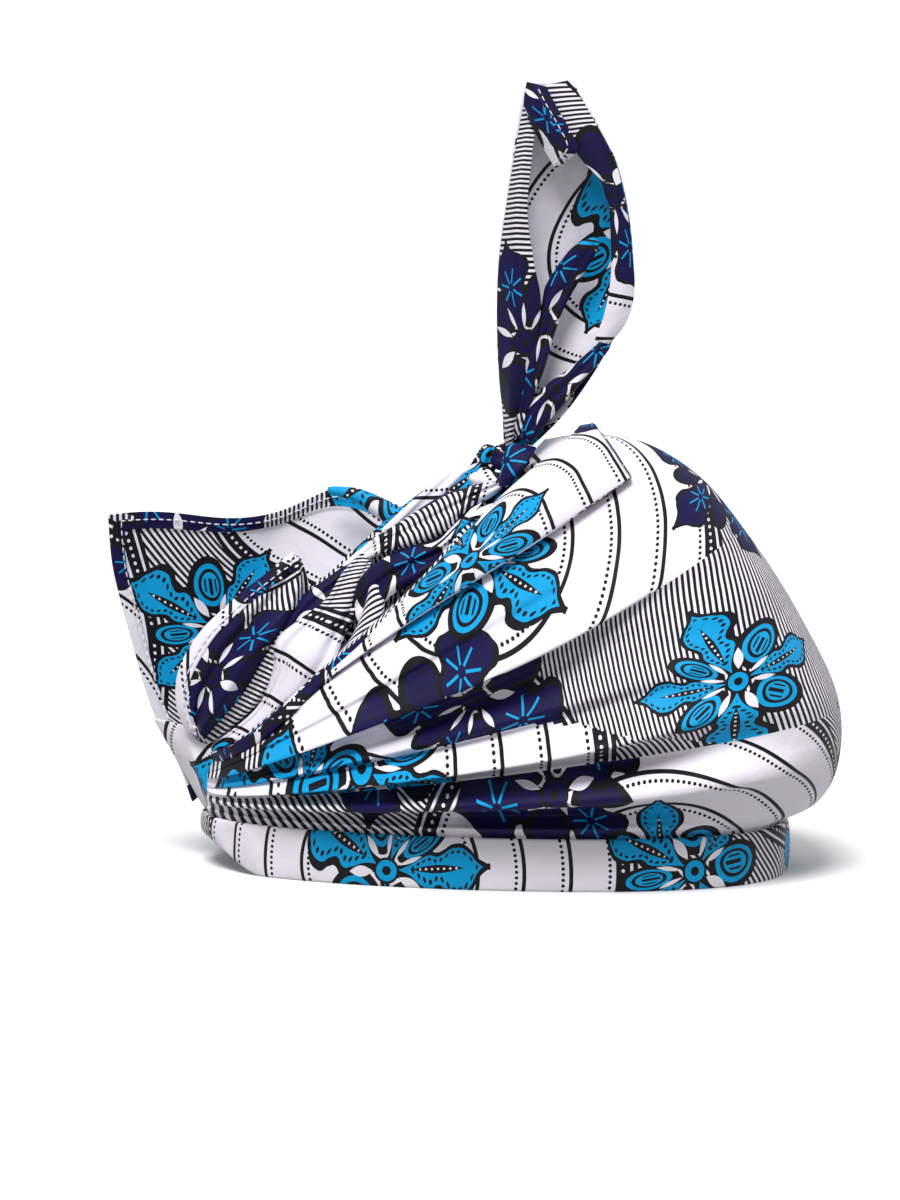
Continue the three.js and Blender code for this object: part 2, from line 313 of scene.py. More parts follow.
def make_crown():
    """One thin wall from the lower edge inside the band up to the ridge. Its print is
    polar: the distance from the gather, to which depth adds little on the near side, and
    an angle that grows with the rise. Each panel has its own place in the print."""
    rows, columns = 190, 250
    share = np.linspace(0.0, 1.0, rows)[:, None]
    turn = (np.arange(columns) / columns)[None, :]
    points = crown_point(share, turn)

    ring = np.concatenate([points, points[:, :1]], axis=1)
    way_back = way_to_back(turn + 0.5 / columns)
    depth = PRINT_DEPTH + (1.0 - PRINT_DEPTH) * smoothstep(way_back, 0.7, 1.0)
    from_start = running_length(ring, 1, depth)
    distance = np.minimum(from_start, from_start[:, -1:] - from_start)
    rise = read_table(CROWN_SECTIONS, share[:, 0])[:, 2]
    turned = np.radians(PRINT_RISE * rise + 5.0 * share[:, 0])[:, None]
    place = face_corners(np.stack([distance * np.cos(turned), distance * np.sin(turned)], -1))
    middle_rise = ((rise[1:] + rise[:-1]) / 2.0)[:, None]
    uv = np.zeros_like(place)
    for near_start, back_start, scale, move_x, move_y, print_turn in CROWN_PANELS:
        start = near_start + (back_start - near_start) * smoothstep(way_back, 0.5, 0.72)
        panel = middle_rise >= start
        uv[panel] = place_print(scale * place[panel], (move_x, move_y), print_turn)

    crown = grid_mesh("crown_cloth", points, uv, around=True)
    give_thickness(crown)
    settle(crown, "crown_cotton", "crown")


def share_at_rise(rise):
    """The share of the crown's height whose section rises at an angle."""
    share = np.linspace(0.0, 1.0, 400)
    return np.interp(rise, read_table(CROWN_SECTIONS, share)[:, 2], share)


# Band

def make_band():
    """A strip folded over lengthwise: a flat rounded profile carried round the egg of the
    head opening, with its lower edge lifted at the front."""
    around, profile = 300, 28
    turn = np.arange(around)[:, None] / around
    lap = TAU * np.arange(profile)[None, :] / profile
    flat = np.sign(np.sin(lap)) * np.abs(np.sin(lap)) ** 0.35
    out = BAND_THICKNESS / 2.0 * (flat - 1.0)
    up = 0.5 - 0.5 * np.cos(lap)
    up = 0.5 + 0.5 * np.sign(up - 0.5) * np.abs(2.0 * up - 1.0) ** 0.8
    crease = 0.35 * np.sin(TAU * 23.0 * turn) * np.sin(np.pi * up)
    inset = out + crease
    along, across = egg(turn, BAND_LENGTH + 2.0 * inset, BAND_HALF_WIDTH + inset, BAND_SWING)
    x = BAND_FRONT_X - inset + along
    lift = BAND_FRONT_LIFT * (
        1.0 - smoothstep(x, BAND_FRONT_X, BAND_FRONT_X + BAND_FRONT_LIFT_LENGTH))
    z = lift + (BAND_HEIGHT - lift) * up
    points = np.stack([x, across, z], -1)
    closed = np.concatenate([points, points[:1]], axis=0)
    length = running_length(closed, 0)[:, [profile // 4]]
    height = np.concatenate([closed[..., 2], closed[:, :1, 2]], axis=1)
    place = np.stack([np.broadcast_to(length, height.shape), height], -1)
    uv = place_print(place, BAND_PRINT[:2], BAND_PRINT[2])
    band = grid_mesh("band_cloth", closed, uv, around=True)
    settle(band, "band_cotton", "band")


# Folds and leaves of cloth

def make_fold(name, rows, move, turn, *nodes, grooves=()):
    """A folded tie between two edges. Each row has the left edge's point, the right edge's
    point and a belly: the section is an ellipse from edge to edge, as deep as its belly on
    the near side and shallower behind, with grooves of bell curves."""
    along_count, around_count = 90, 52
    share = np.linspace(0.0, 1.0, along_count)
    table = read_table(np.array(rows, float), share)
    left, right, belly = table[:, None, 0:3], table[:, None, 3:6], table[:, 6:7]
    ends = closed_ends(share)[:, None]
    lap = TAU * np.arange(around_count)[None, :] / around_count
    depth = np.where(np.sin(lap) > 0, 1.0, -DEPTH_BEHIND) * np.abs(np.sin(lap)) ** 0.8
    for centre, width, cut in grooves:
        depth = depth * (1.0 - cut * bell(lap / np.pi, centre, width))
    across = -np.cos(lap) * ends
    points = (left + right) / 2 + (right - left) / 2 * across[..., None]
    points = points + (belly * depth * ends)[..., None] * np.array([0.0, -1.0, 0.0])

    along = running_length((left + right) / 2, 0)[:, 0]
    make_tie(name, points, -along, move, turn, nodes)


def leaf_points(rows, size, ridges=(), hems=()):
    """A sheet between two edges, and the lengths across and along it. Each row has the left
    edge's point, the right edge's point and a belly: between them it is straight, moved to
    the near side by belly times a sine, and by bell curves that run from one share of the
    width to another. A hem stands out along an edge up to its stitching."""
    v = np.linspace(0.0, 1.0, size[0])
    u = np.linspace(0.0, 1.0, size[1])[None, :]
    table = read_table(np.array(rows, float), v)
    left, right, belly = table[:, None, 0:3], table[:, None, 3:6], table[:, 6:7]
    points = left + (right - left) * u[..., None]
    near = belly * np.sin(np.pi * u)
    fade = np.sin(np.pi * np.clip(v, 0.02, 0.98))[:, None] ** 0.5
    for start, end, width, height in ridges:
        centre = start + (end - start) * v[:, None]
        near = near + height * bell(u, centre, width) * fade
    points[..., 1] -= near
    across, along = running_length(points, 1), running_length(points, 0)
    inset = {"left": across, "right": across[:, -1:] - across,
             "top": along, "bottom": along[-1:] - along}
    raised, hem = np.zeros_like(across), np.zeros_like(across)
    for edge in hems:
        strip = 1.0 - smoothstep(inset[edge], HEM_WIDTH - 0.5, HEM_WIDTH + 0.6)
        sewn = bell(inset[edge], SEAM_INSET, 0.5)
        if edge in ("left", "right"):
            room = smoothstep(across[:, -1:], 1.5 * HEM_WIDTH, 3.0 * HEM_WIDTH)
            strip, sewn = strip * room, sewn * room
        raised = np.maximum(raised, HEM_RAISE * (strip - 0.6 * sewn))
        hem = np.maximum(hem, strip)
    return points + raised[..., None] * grid_normals(points), across, along, hem


def make_leaf(name, surface, move, turn, *nodes, rests_on=()):
    """A single layer of cloth over a surface of points, its lengths across and along, which place
    its print, and its hems, which are the cloth's other end folded over and so have a print of their
    own."""
    points, across, along, hem = surface
    place = face_corners(np.stack([across, -along], -1))
    folded = face_corners(hem[..., None]).mean(axis=(2, 3)) > 0.5
    uv = place_print(place, move, turn)
    uv[folded] = place_print(place[folded], HEM_PRINT[:2], HEM_PRINT[2])
    leaf = grid_mesh(name, points, uv)
    normals = np.empty(3 * len(leaf.data.polygons))
    leaf.data.polygons.foreach_get("normal", normals)
    if normals[1::3].sum() > 0:
        leaf.data.flip_normals()
    give_thickness(leaf)
    settle(leaf, "tie_cotton", *nodes)


def hem_line(surface, edge):
    """Points along the stitching of a hem, and the way out of the cloth at each."""
    points, across, along, _ = surface
    t = np.linspace(0.02, 0.98, 160)
    if edge in ("left", "right"):
        width = grid_at(across[..., None], t, np.ones_like(t))[:, 0]
        place = (t, SEAM_INSET / width if edge == "left" else 1.0 - SEAM_INSET / width)
    else:
        width = grid_at(along[..., None], np.ones_like(t), t)[:, 0]
        place = (SEAM_INSET / width if edge == "top" else 1.0 - SEAM_INSET / width, t)
    return grid_at(points, *place), grid_at(grid_normals(points), *place)


def make_stitches(name, lines):
    """Thread stitches along lines on the cloth: six-sided spindles, one to each pitch,
    half sunk into the hem."""
    ring = TAU * np.arange(6) / 6
    place = np.array([-0.5, -0.36, 0.0, 0.36, 0.5]) * STITCH_LENGTH
    radius = np.array([0.15, 0.85, 1.0, 0.85, 0.15]) * STITCH_RADIUS
    template = np.stack(np.broadcast_arrays(
        place[:, None], radius[:, None] * np.cos(ring), radius[:, None] * np.sin(ring)), -1)
    count_each = template.shape[0] * template.shape[1]
    index = np.arange(count_each).reshape(template.shape[:2])
    sides = face_corners(np.hstack([index, index[:, :1]])).reshape(-1, 4)
    all_points, all_faces, count = [], [], 0
    for line, out in lines:
        length = running_length(line[:, None], 0)[:, 0]
        at = np.arange(STITCH_PITCH, length[-1] - STITCH_PITCH / 2, STITCH_PITCH)
        middle = np.stack([np.interp(at, length, line[:, k]) for k in range(3)], -1)
        tangent = np.stack([np.interp(at, length, np.gradient(line[:, k])) for k in range(3)], -1)
        tangent /= np.linalg.norm(tangent, axis=-1, keepdims=True)
        normal = np.stack([np.interp(at, length, out[:, k]) for k in range(3)], -1)
        side = np.cross(tangent, normal)
        side /= np.linalg.norm(side, axis=-1, keepdims=True)
        axes = np.stack([tangent, side, np.cross(side, tangent)], 1)
        points = np.einsum("pqk,nkj->npqj", template, axes) + (middle + 0.1 * normal)[:, None, None]
        faces = sides[None] + count_each * np.arange(len(at))[:, None, None] + count
        all_points.append(points.reshape(-1, 3))
        all_faces.append(faces.reshape(-1, 4))
        count += count_each * len(at)
    mesh = bpy.data.meshes.new(name)
    mesh.from_pydata((np.concatenate(all_points) - MIDDLE) * METRE, [],
                     np.concatenate(all_faces).tolist())
    mesh.polygons.foreach_set("use_smooth", np.ones(len(mesh.polygons), bool))
    settle(add_object(name, mesh), "tie_cotton", finish="stitch_thread")


# Twist and knot on the ridge

def ridge_frame(distance):
    """Points on the crown's ridge and the direction straight out of it at each."""
    nose_x, nose_z, rise, reach = CROWN_SECTIONS[-1][:4]
    angle = np.radians(rise * (PLANE_START_SHARE + (1.0 - PLANE_START_SHARE) * distance / reach))
    zero = np.zeros_like(angle)
    foot = np.stack([nose_x + distance * np.cos(angle), zero, nose_z + distance * np.sin(angle)], -1)
    return foot, np.stack([-np.sin(angle), zero, np.cos(angle)], -1)


def tube_frame(path):
    """Along a path: a side vector near -Y, and the vector out of it."""
    tangent = np.gradient(path, axis=0)
    tangent /= np.linalg.norm(tangent, axis=-1, keepdims=True)
    side = np.array([0.0, -1.0, 0.0]) + tangent * tangent[:, [1]]
    side /= np.linalg.norm(side, axis=-1, keepdims=True)
    return side, np.cross(side, tangent)


def make_strap(name, rows, move, turn, *nodes, creases=3):
    """A folded tie as a closed body on the ridge: an oval section carried along a smooth
    path through the rows (distance, height and y on the ridge, half width, half thickness,
    turn in degrees). Its thickness swings with a cosine of the angle round it, which makes
    lengthwise creases."""
    along_count, around_count = 110, 48
    share = np.linspace(0.0, 1.0, along_count)
    table = read_table(np.array(rows, float), share)
    foot, out = ridge_frame(table[:, 0])
    path = foot + table[:, [1]] * out + table[:, [2]] * np.array([0.0, 1.0, 0.0])
    half_width, half_thick, lean = table[:, 3], table[:, 4], np.radians(table[:, 5])[:, None]
    side, up = tube_frame(path)
    ends = closed_ends(share)
    lap = TAU * np.arange(around_count)[None, :] / around_count
    crease = 1.0 + 0.22 * np.cos(creases * 2.0 * lap + 5.0 * share[:, None])
    wide = (half_width * ends)[:, None] * np.cos(lap)
    thick = (half_thick * ends)[:, None] * np.sin(lap) * crease
    across = wide * np.cos(lean) - thick * np.sin(lean)
    away = wide * np.sin(lean) + thick * np.cos(lean)
    points = path[:, None] + across[..., None] * up[:, None] + away[..., None] * side[:, None]
    along = running_length(path[:, None], 0)[:, 0]
    make_tie(name, points, -along, move, turn, nodes)


def crown_side(distance, height):
    """The y of the crown's near side at a place on the ridge and a height above or below it."""
    share = np.linspace(0.5, 1.0, 160)[:, None]
    reach = read_table(CROWN_SECTIONS, share[:, 0])[:, 3][:, None]
    turn = turn_at(distance[None, :], reach)
    points = crown_point(share, turn)
    foot, out = ridge_frame(distance)
    above = np.einsum("rci,ci->rc", points - foot[None], out)
    closest = np.argmin(np.abs(above - height[None, :]), axis=0)
    return points[closest, np.arange(len(distance)), 1]


def make_groove_fold(name, rows, move, turn):
    """A thin rolled edge that lies on the crown beside the ridge: rows of distance, height
    on the ridge, lift from the crown and radius."""
    table = read_table(np.array(rows, float), np.linspace(0.0, 1.0, 12))
    y = crown_side(table[:, 0], table[:, 1]) - table[:, 2]
    strap = np.column_stack([table[:, 0], table[:, 1], y, table[:, 3] * 1.25, table[:, 3],
                             np.full(len(table), 35.0)])
    make_strap(name, strap, move, turn, creases=2)


def make_wrap_loop(name, centre, axis, radius, half_width, half_thick, move, turn, *nodes):
    """A tie wrapped once round another: an oval section carried round a circle square to
    an axis, pulled thin on one side."""
    around, section = 96, 36
    a = TAU * np.arange(around)[:, None] / around
    lap = TAU * np.arange(section)[None, :] / section
    axis = np.array(axis, float) / np.linalg.norm(axis)
    first = np.array([0.0, -1.0, 0.0]) + axis * axis[1]
    first /= np.linalg.norm(first)
    second = np.cross(axis, first)
    outward = np.cos(a)[..., None] * first + np.sin(a)[..., None] * second
    pull = 1.0 - 0.25 * (0.5 - 0.5 * np.cos(a + 0.6))
    crease = 1.0 + 0.16 * np.cos(4.0 * lap + 2.0 * a)
    reach = radius + half_thick * np.sin(lap) * crease * pull
    rise = half_width * np.cos(lap) * pull + 1.2 * np.sin(2.0 * a)
    points = np.array(centre, float) + reach[..., None] * outward + rise[..., None] * axis
    closed = np.concatenate([points, points[:1]], axis=0)
    along = running_length(closed, 0)
    make_tie(name, closed, along[:, section // 4], move, turn, nodes,
             length=np.mean(along[-1]))


# The rolled tie on the crown's top
ROLL_LOW_ANGLE, ROLL_HIGH_ANGLE = 36.0, 42.2
ROLL_START, ROLL_END = 50.0, 184.0
ROLL_THICKNESS = 7.0
ROLL_PRINT = (-59.6, -43.1, 29.1)


def make_top_roll():
    """The rolled tie on the crown's top: across it, a lens whose foot follows the crown
    between two rising angles and whose top stands off by a sine; its far end is an open
    tube whose wall turns back inside."""
    rows, columns = 150, 60
    v = np.linspace(0.0, 1.0, rows)[:, None]
    lap = TAU * np.arange(columns)[None, :] / columns
    along = np.minimum(v / 0.9, 1.0)
    inside = smoothstep(v, 0.9, 1.0)
    distance = ROLL_START + (ROLL_END - ROLL_START) * along - 16.0 * inside
    taper = (0.25 + 0.75 * smoothstep(along, 0.0, 0.75)) * smoothstep(along, 0.0, 0.06)
    size = taper * (1.0 - 0.30 * smoothstep(inside, 0.0, 0.25))
    middle = (ROLL_LOW_ANGLE + ROLL_HIGH_ANGLE) / 2.0 - 1.6 * along ** 2
    half_span = (ROLL_HIGH_ANGLE - ROLL_LOW_ANGLE) / 2.0
    share = share_at_rise(middle - half_span * np.cos(lap) * size)
    reach = read_table(CROWN_SECTIONS, share)[..., 3]
    turn = turn_at(distance, reach)
    foot = crown_point(share, turn)
    crease = 1.0 + 0.16 * np.cos(5.0 * lap + 3.0 * along)
    lift = 0.8 + ROLL_THICKNESS * size * (0.5 + 0.5 * np.sin(lap) * crease)
    tilt = math.radians(39.0)
    outward = np.array([-math.sin(tilt) * 0.84, -0.55, math.cos(tilt) * 0.84])
    points = foot + lift[..., None] * outward
    length = running_length(points, 0)
    length = np.concatenate([length, length[:, :1]], 1)
    lap_length = running_length(np.concatenate([points, points[:, :1]], 1), 1)
    uv = place_print(np.stack([length, lap_length], -1), ROLL_PRINT[:2], ROLL_PRINT[2])
    roll = grid_mesh("top_roll_cloth", points, uv, around=True)
    settle(roll, "tie_cotton", "top_roll")


# Standing tie: each row has its left edge, right edge and the depth of its hollow
STANDING_TIE = [
    # left x, y, z, right x, y, z, belly
    (19.5, -3, 276.5, 34.5, -6, 277, -4),
    (17, -4, 266, 40.5, -9, 267, -6),
    (14.5, -5, 250, 49.5, -11, 250, -9),
    (12, -6, 233, 54, -12, 233, -10),
    (9.8, -6, 217, 56, -12, 216, -11),
    (9, -6, 201, 56, -12, 200, -11),
    (9, -6, 187, 50, -12, 188, -10),
    (9.8, -6, 172, 42, -10, 174, -8),
    (11, -5, 160, 32, -8, 160, -5),
    (11.5, -4, 149, 21, -6, 149, -3),
]


def make_standing_tie():
    """The standing tie: a hollow leaf of cloth whose two sides are folded over its near
    side, with a ridge that crosses it and folds that run into the knot."""
    hollow = leaf_points(STANDING_TIE, (120, 90), ridges=[(0.75, 0.25, 0.10, 2.0)])
    make_leaf("upright_tail_cloth", hollow, (-47.4, 63.4), -4.2, "upright_tail",
              rests_on=["knot"])

    flap = leaf_points([
        (19.5, -4, 276, 25, -6, 275, 1),
        (17, -5, 264, 22.5, -9, 263, 1.5),
        (14, -6.5, 247, 20.5, -11, 247, 2),
        (11.5, -7, 231, 19.3, -12, 231, 2.5),
        (9.5, -7.5, 216, 21.5, -13, 214, 3),
        (8.6, -7.5, 201, 24, -13, 200, 4),
        (8.8, -7.5, 186, 22.5, -12, 186, 4),
        (9.6, -7, 170, 18.5, -11, 170, 4),
        (11, -6, 157, 15.5, -9, 157, 3),
        (12, -5, 148, 14, -7, 148, 2),
    ], (110, 40), ridges=[(0.5, 0.5, 0.2, 0.8)])
    make_leaf("upright_flap_cloth", flap, (-45, 1949), 105)

    strip = leaf_points([
        (25.5, -10, 275.5, 34.5, -7, 277.5, 1),
        (31.5, -12, 263, 41.5, -10, 265.5, 1.5),
        (37, -13, 251, 49.5, -12, 250.5, 1.5),
        (46.5, -14, 239, 53.5, -13, 236, 1.2),
        (48.5, -14.5, 222, 56, -13, 219, 1.2),
        (48.5, -14.5, 208, 57, -13, 203, 1.2),
        (46.5, -14, 196, 54, -13, 192, 1.2),
        (43, -13, 186, 48, -12.5, 184.5, 1),
    ], (90, 36))
    make_leaf("upright_strip_cloth", strip, (129.6, 62.4), -60)

    corner = leaf_points([
        (19, -8, 276.8, 26, -10, 275, 1),
        (18, -9.5, 269, 29.5, -12, 267, 2.5),
        (20.5, -10.5, 262, 33.5, -13.5, 259.5, 3),
        (24.5, -11.5, 254, 36.5, -14.5, 253, 2.5),
        (28.5, -12, 247, 32, -13, 248, 0.8),
    ], (60, 44), ridges=[(0.5, 0.7, 0.14, 1.2)], hems=["right"])
    make_leaf("upright_corner_cloth", corner, (0.7, -50.9), 135)

    make_fold("upright_ridge_cloth", [
        (42.5, -11, 223, 45.5, -12, 220, 0.6),
        (35, -9, 218.5, 42, -9, 214, 2.5),
        (28.5, -7, 210, 37, -7, 205.5, 3.5),
        (24, -7, 201, 32.5, -7, 197.5, 3.5),
        (21, -8, 191, 29, -8, 188, 3.5),
        (18, -9, 179, 25.5, -9, 176, 3.5),
        (15.5, -8, 166, 21, -8, 164, 3),
        (13.5, -7, 152, 17, -7, 151, 2.5),
    ], (2.5, -18.7), -4, grooves=[(0.6, 0.1, 0.3)])
    make_fold("upright_low_fold_cloth", [
        (47.5, -11, 188, 49.5, -12, 184, 1),
        (41, -10, 182, 43, -11, 176, 2.5),
        (33.5, -10, 175.5, 37, -10, 169, 3.5),
        (26.5, -10, 170.5, 31, -10, 162, 3.5),
        (20.5, -9, 163, 26, -9, 156, 3),
        (16, -8, 152, 21, -8, 149, 2.5),
    ], (1.8, -28.7), -4, grooves=[(0.5, 0.12, 0.35)])
    make_stitches("upright_stitches", [hem_line(corner, "right")])


# Falling tie: each row has its free edge, its edge beside the twist and its belly
FALLING_TIE = [
    (-130.5, 6, 121.5, -24, 14, 122, -14),
    (-128.8, 6, 103, -39, 14, 106, -15),
    (-123, 7, 80, -57, 14, 84, -13),
    (-115.5, 7, 54, -78, 15, 61, -8),
    (-107, 6, 36, -94, 17, 42, -2),
    (-100, 3, 20.5, -97.5, 12, 22, 0),
]


def make_front_tail():
    """The falling tie: a leaf whose upper edge lifts in a wave of two bell curves, hemmed
    along its top and its free side, with a corner curled over beside the twist."""
    rows, columns = 130, 140
    points, across, along, hem = leaf_points(
        FALLING_TIE, (rows, columns), hems=["left", "top"],
        ridges=[(0.2, 0.5, 0.12, 2.0), (0.55, 0.75, 0.14, -3.0)])
    v = np.linspace(0.0, 1.0, rows)[:, None]
    u = np.linspace(0.0, 1.0, columns)[None, :]
    points[..., 2] += (1.0 - v) ** 4 * (
        10.5 * bell(u, 0.80, 0.18) + 2.5 * bell(u, 0.12, 0.2) - 1.0 * bell(u, 0.4, 0.15))
    points[..., 1] += 2.0 * (1.0 - v) ** 3 * np.sin(7.0 * u)
    surface = (points, across, along, hem)
    make_leaf("front_tail_cloth", surface, (78.4, 4.6), -20, "front_tail")
    make_fold("front_tail_curl_cloth", [
        (-52, 10, 133.5, -52, 10, 130.5, 1.5),
        (-41, 8, 132.5, -43, 8, 128, 3),
        (-31, 5, 128.5, -35, 5, 123, 4),
        (-23, 2, 124, -29, 2, 118, 4),
        (-22, 0, 117, -30, 0, 113, 3),
    ], (-20, 15), 90)
    make_stitches("front_tail_stitches",
                  [hem_line(surface, "left"), hem_line(surface, "top")])


# Folded lobe in front of the falling tie
FRONT_LOBE = [
    (-64, -9, 111, -61, -8, 108.5, 0.5),
    (-73, -10.5, 103.2, -58, -9, 98, 2),
    (-81, -11, 97, -58.5, -9, 88, 4),
    (-89, -11, 89.8, -64, -10, 79, 5),
    (-97, -11, 81.5, -70, -11, 69, 5),
    (-103.8, -11, 69.5, -76, -11, 58.5, 4.5),
    (-105, -10, 58, -84, -10, 51, 4),
    (-102.5, -9, 50, -91.5, -9, 46, 3),
    (-98.5, -8, 44, -95.5, -8, 42.5, 1),
]


def make_front_fold():
    """The folded lobe: a leaf with a rounded inner fold, a valley beside its hem, and
    creases that run down into the gather."""
    surface = leaf_points(FRONT_LOBE, (100, 90), hems=["left"], ridges=[
        (0.75, 0.55, 0.13, 4.5), (0.42, 0.36, 0.08, -2.5), (0.95, 0.8, 0.07, -1.5)])
    make_leaf("front_fold_cloth", surface, (53.7, 137.4), -28.1, "front_fold")
    make_stitches("front_fold_stitches", [hem_line(surface, "left")])


def make_gather():
    """The cloth of the far side that shows in front of the gather, above the band."""
    surface = leaf_points([
        (-114.5, 5, 50, -91, -7, 47, 2),
        (-108.6, 4, 39.5, -89, -12, 37, 3),
        (-102.5, 3, 29, -87, -16, 28, 3),
        (-98.6, 2, 22, -85, -19, 20, 3),
        (-95, 1, 16.5, -83, -21, 14, 2),
    ], (50, 50), ridges=[(0.5, 0.3, 0.1, 1.5), (0.85, 0.7, 0.08, 1.5)])
    make_leaf("gather_cloth", surface, (-20, 50), -30)


# Ties twisted together along the ridge

def make_twist():
    """The twisted ties: a core on the ridge, and the folds that lie over and beside it."""
    make_strap("twist_core_cloth", [
        (6, 8, 1, 6, 6, 0), (30, 9, 2, 8, 8, 0), (70, 9, 1, 8, 8, 20), (105, 8, 0, 7, 8, 40),
        (134, 7, -1, 5, 5, 0), (150, 12, -2, 4, 4, 0)], (10, 85), 90, "twist")
    make_fold("twist_front_cloth", [
        (-38, -10, 113, -34, -10, 110, 3),
        (-46, -13, 104, -37, -14, 103, 4),
        (-52, -15, 94.5, -40.5, -17, 91.5, 5),
        (-62, -16, 87, -46, -20, 80, 6),
        (-69.5, -16, 80, -50, -23, 70, 7),
        (-71, -15, 69, -58, -23, 62, 6.5),
        (-75.5, -14, 57.5, -69, -20, 53.5, 5),
        (-84, -12, 49, -79, -16, 45.5, 4),
        (-94, -9, 42, -92, -12, 38.5, 3),
    ], (-112, -12), 90, grooves=[(0.32, 0.08, 0.45), (0.72, 0.06, 0.3)])
    make_fold("twist_leaf_cloth", [
        (12, -7, 139, 11, -8, 132, 4),
        (0, -9, 134.5, -2, -12, 125.5, 6),
        (-9, -10, 132, -9.5, -15, 118, 7),
        (-17, -10, 127.5, -18, -16, 114, 7),
        (-26, -9, 121.5, -27, -15, 112, 6),
        (-34, -8, 116.5, -33.5, -13, 110, 5),
        (-41, -7, 111, -38, -11, 107.5, 3.5),
        (-50, -5, 103.5, -46, -8, 101, 2.5),
    ], (-70, 12), -90, grooves=[(0.45, 0.07, 0.3)])
    make_fold("twist_dark_cloth", [
        (9, -13, 130, 9, -15, 124, 3),
        (-3, -16, 124, -1, -19, 116.5, 5),
        (-11, -18, 117.5, -11, -22, 107, 6),
        (-20.5, -18, 114, -20.5, -23, 101, 6),
        (-31, -17, 109.5, -28.5, -22, 96.5, 5.5),
        (-38.5, -16, 104, -33.5, -22, 91, 4.5),
        (-45, -15, 96, -40.5, -21, 84, 3.5),
    ], (-33, -24), 60, grooves=[(0.5, 0.09, 0.5)])
    make_fold("twist_cross_cloth", [
        (-36, -18, 104, -31.5, -20, 99, 2.5),
        (-37.5, -22, 95, -31, -25, 92.5, 4),
        (-41, -26, 85.5, -34, -29, 83.5, 5),
        (-47, -29, 75.5, -41, -32, 74, 5),
        (-56, -29, 65.5, -51.5, -31, 63.5, 4),
        (-69, -25, 54, -66, -27, 51.5, 3.5),
        (-85, -17, 44.5, -83.5, -19, 42, 3),
    ], (-100, 78), 60)
    make_fold("twist_side_cloth", [
        (-41, -7, 109.5, -37, -8, 106, 3),
        (-52, -9, 101.5, -46, -10, 97, 4),
        (-61.5, -10, 94.5, -54, -12, 89, 5),
        (-68, -11, 85, -62.5, -13, 80, 5),
        (-74, -11, 75, -69, -13, 69, 5),
        (-80, -10, 65.5, -74.5, -12, 59, 4.5),
        (-89, -9, 53.5, -85.5, -10, 48.5, 3.5),
        (-96.5, -7, 44, -95, -8, 41, 2),
    ], (20, 70), 90, grooves=[(0.5, 0.1, 0.3)])
    make_groove_fold("twist_low_cloth", [
        (0, -2, 1.0, 2.2), (20, -5.6, 1.6, 2.6), (54, -5.2, 2.0, 2.8), (86, -5.8, 2.2, 2.8),
        (112, -4.6, 2.2, 2.6), (136, -1, 2, 2.2)], (-20, -62), 70)
    make_groove_fold("twist_edge_cloth", [
        (4, 0.5, 1.0, 2.0), (24, -1.0, 2.0, 2.6), (56, -0.6, 3.0, 2.8), (84, -1.5, 3.0, 2.6),
        (104, -1, 2.5, 2)], (-15, -52), 75)
    for name, rows, move in (
        ("twist_far_cloth", [(4, 5, 8, 6, 4, 0), (30, 7, 13, 9, 5, 10), (62, 8, 13, 9, 5, 20),
                             (95, 8, 11, 8, 5, 20), (126, 7, 8, 6, 4, 10), (141, 8, 5, 4, 3, 0)],
         (-60.0, -20.0)),
        ("twist_crest_cloth", [(14, 12, 3, 5, 4, 30), (44, 15, 5, 7, 4, 40), (78, 15, 3, 7, 4, 60),
                               (108, 14, 1, 6, 4, 40), (138, 12, 0, 4, 3, 0)], (-150.0, 44.0)),
    ):
        make_strap(name, rows, move, 90.0)


def make_knot():
    """The knot: two wraps of the tie round the foot of the standing tie, and the end that
    leaves them for the rolled tie."""
    make_wrap_loop("knot_cloth", (7.5, -2.0, 135.0), (0.5, 0.1, 0.86), 6.2, 4.2, 3.0,
                   (0, -72), 80, "knot")
    make_wrap_loop("knot_upper_cloth", (13.5, -3.0, 143.5), (0.35, -0.12, 0.93), 4.8, 3.4, 2.4,
                   (20, 78), 20)
    make_fold("knot_end_cloth", [
        (12.5, -11, 150, 23, -11, 148.5, 1.2),
        (10.8, -13, 145, 21, -15, 145.5, 2.5),
        (9.8, -15, 140, 17, -18, 140, 3),
        (9, -15, 134.5, 12, -17, 134, 2),
    ], (-19, -66), 120)


# Printed cotton

def linear(code):
    """A colour written as red, green and blue pairs of hex digits, as linear light."""
    values = [int(code[i:i + 2], 16) / 255.0 for i in (0, 2, 4)]
    light = [v / 12.92 if v <= 0.04045 else ((v + 0.055) / 1.055) ** 2.4 for v in values]
    return (*light, 1.0)


class Wire:
    """A number in a node tree that takes arithmetic, so that a pattern reads as its formula."""

    def __init__(self, tree, socket):
        self.tree, self.socket = tree, socket

    def math(self, operation, *others):
        node = self.tree.nodes.new("ShaderNodeMath")
        node.operation = operation
        self.tree.links.new(self.socket, node.inputs[0])
        for place, other in enumerate(others, 1):
            if isinstance(other, Wire):
                self.tree.links.new(other.socket, node.inputs[place])
            else:
                node.inputs[place].default_value = other
        return Wire(self.tree, node.outputs[0])

    def clamp(self, low, high):
        return self.high(low).low(high)


WIRE_OPERATIONS = {
    "__add__": "ADD", "__sub__": "SUBTRACT", "__mul__": "MULTIPLY", "__truediv__": "DIVIDE",
    "__lt__": "LESS_THAN", "__gt__": "GREATER_THAN", "low": "MINIMUM", "high": "MAXIMUM",
    "wrap": "FLOORED_MODULO", "size": "ABSOLUTE", "sine": "SINE", "cosine": "COSINE",
    "root": "SQRT", "angle_of": "ARCTAN2",
}
for method_name, operation_name in WIRE_OPERATIONS.items():
    setattr(Wire, method_name, partialmethod(Wire.math, operation_name))


